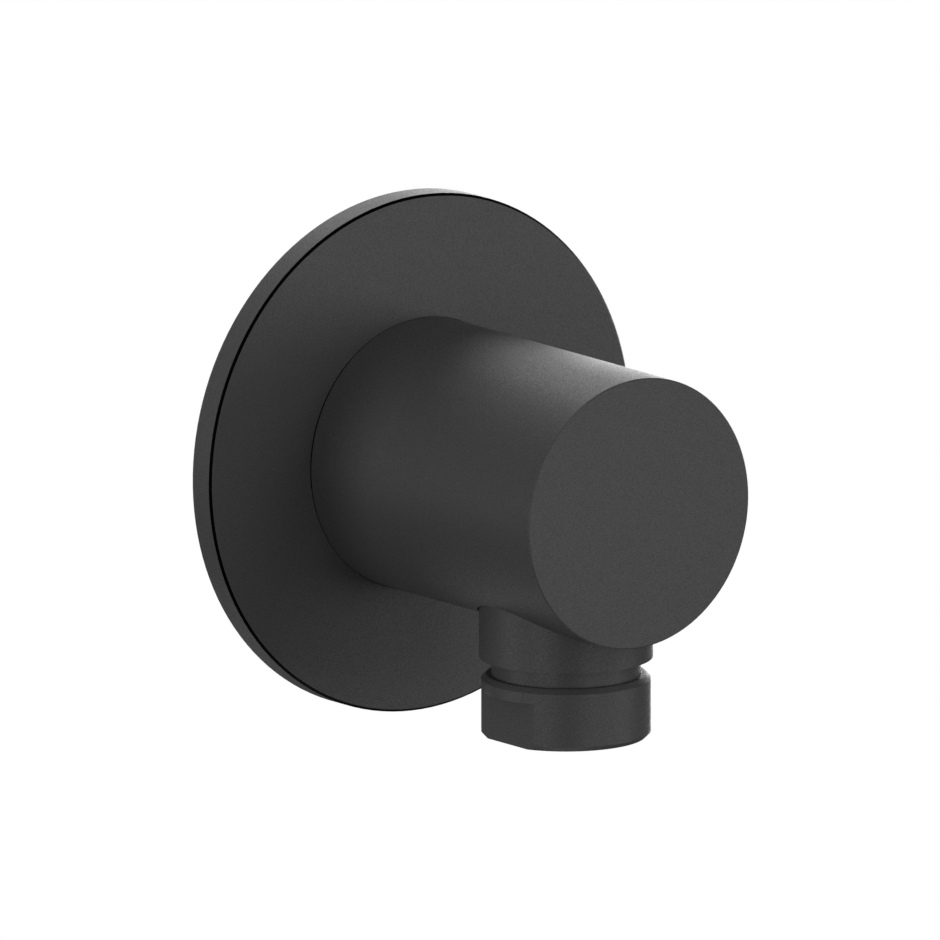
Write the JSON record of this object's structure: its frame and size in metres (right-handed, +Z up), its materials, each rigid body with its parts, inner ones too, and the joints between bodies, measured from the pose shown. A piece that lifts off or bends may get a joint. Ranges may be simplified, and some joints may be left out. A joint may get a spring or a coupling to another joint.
{
  "type": "wall outlet elbow",
  "caption": "Round elbow on a wall rosette that turns a pipe in the wall down into a shower-hose nipple, with a sprung non-return valve inside.",
  "frame": {"origin": "where the elbow's own axis meets the finished wall plane, on the axis of the pipe thread", "axes": "+Z up, +Y into the wall; the elbow stands out along -Y and its outlet points down along -Z"},
  "size_m": [0.065, 0.0605, 0.065],
  "materials": {
    "black_coated_brass": "fine matte black coat",
    "bare_brass": "turned, uncoated",
    "stainless_steel": "plain drawn and turned",
    "black_rubber": "moulded, lightly greased",
    "grey_foam": "closed-cell foam",
    "white_acetal": "moulded, satin"
  },
  "bodies": {
    "fitting": {"elbow_body": "black_coated_brass", "wall_rosette": "black_coated_brass", "outlet_nipple": "black_coated_brass", "rosette_gasket": "grey_foam", "rosette_o_ring": "black_rubber", "wall_nipple": "bare_brass", "wall_seal_ring": "black_rubber", "nipple_o_ring_rear": "black_rubber", "nipple_o_ring_front": "black_rubber", "grub_screw": "stainless_steel", "outlet_o_ring": "black_rubber", "valve_housing": "white_acetal", "valve_guide": "white_acetal", "valve_o_ring": "black_rubber", "valve_spring": "stainless_steel"},
    "poppet": {"valve_poppet": "white_acetal", "poppet_seal": "black_rubber"}
  },
  "joints": [
    {"name": "poppet_slide", "type": "slide", "parent": "fitting", "child": "poppet", "axis": [0, 0, -1], "range_m": [0, 0.002], "stiffness_N_per_m": 100, "springref_m": -0.003, "deforming": ["valve_spring"]}
  ]
}
